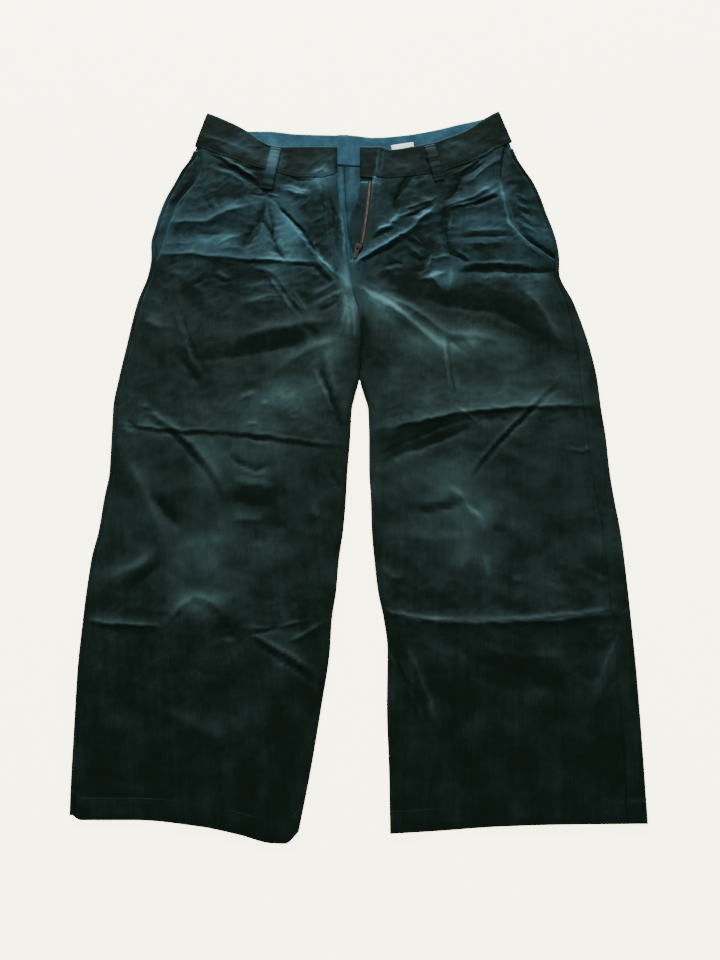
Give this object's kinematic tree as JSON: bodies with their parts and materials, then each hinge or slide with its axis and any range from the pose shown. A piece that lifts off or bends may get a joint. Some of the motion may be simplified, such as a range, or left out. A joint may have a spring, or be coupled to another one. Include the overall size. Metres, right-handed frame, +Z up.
{
  "type": "corduroy trousers",
  "caption": "Straight-leg corduroy trousers lying flat face up with the fly open, soft folds across the legs, slant pockets, a waistband with belt loops, and a zip with a hinged pull tab.",
  "frame": {"origin": "under the middle of the trousers, on the surface they lie on", "axes": "+X towards the wearer's left side, +Y from the hems to the waist, +Z up from the surface, out of the front of the trousers"},
  "size_m": [0.6518, 0.9216, 0.0135],
  "materials": {
    "corduroy": "fine-wale cotton corduroy, matt with a soft nap",
    "facing": "plain woven cotton facing, matt",
    "zip_tape": "woven tape, matt",
    "zip_metal": "dull aged metal",
    "label": "white woven label, blank"
  },
  "bodies": {
    "trousers": {"front_right": "corduroy", "back_right": "corduroy", "pocket_facing_right": "corduroy", "front_left": "corduroy", "back_left": "corduroy", "pocket_facing_left": "corduroy", "waistband_front_right": "corduroy", "waistband_front_left": "corduroy", "waistband_back": "facing", "belt_loop_front_right": "corduroy", "belt_loop_front_left": "corduroy", "belt_loop_back": "corduroy", "fly_shield": "corduroy", "zip_tape_left": "zip_tape", "zip_chain_left": "zip_metal", "zip_tape_right": "zip_tape", "zip_slider": "zip_metal", "label_blank": "label"},
    "pull_tab": {"zip_pull": "zip_metal"}
  },
  "joints": [
    {"name": "pull_tab_hinge", "type": "hinge", "parent": "trousers", "child": "pull_tab", "pos_m": [-0.00026, 0.26535, 0.009], "axis": [-0.9553, 0.2955, 0], "range_deg": [0, 150]}
  ]
}
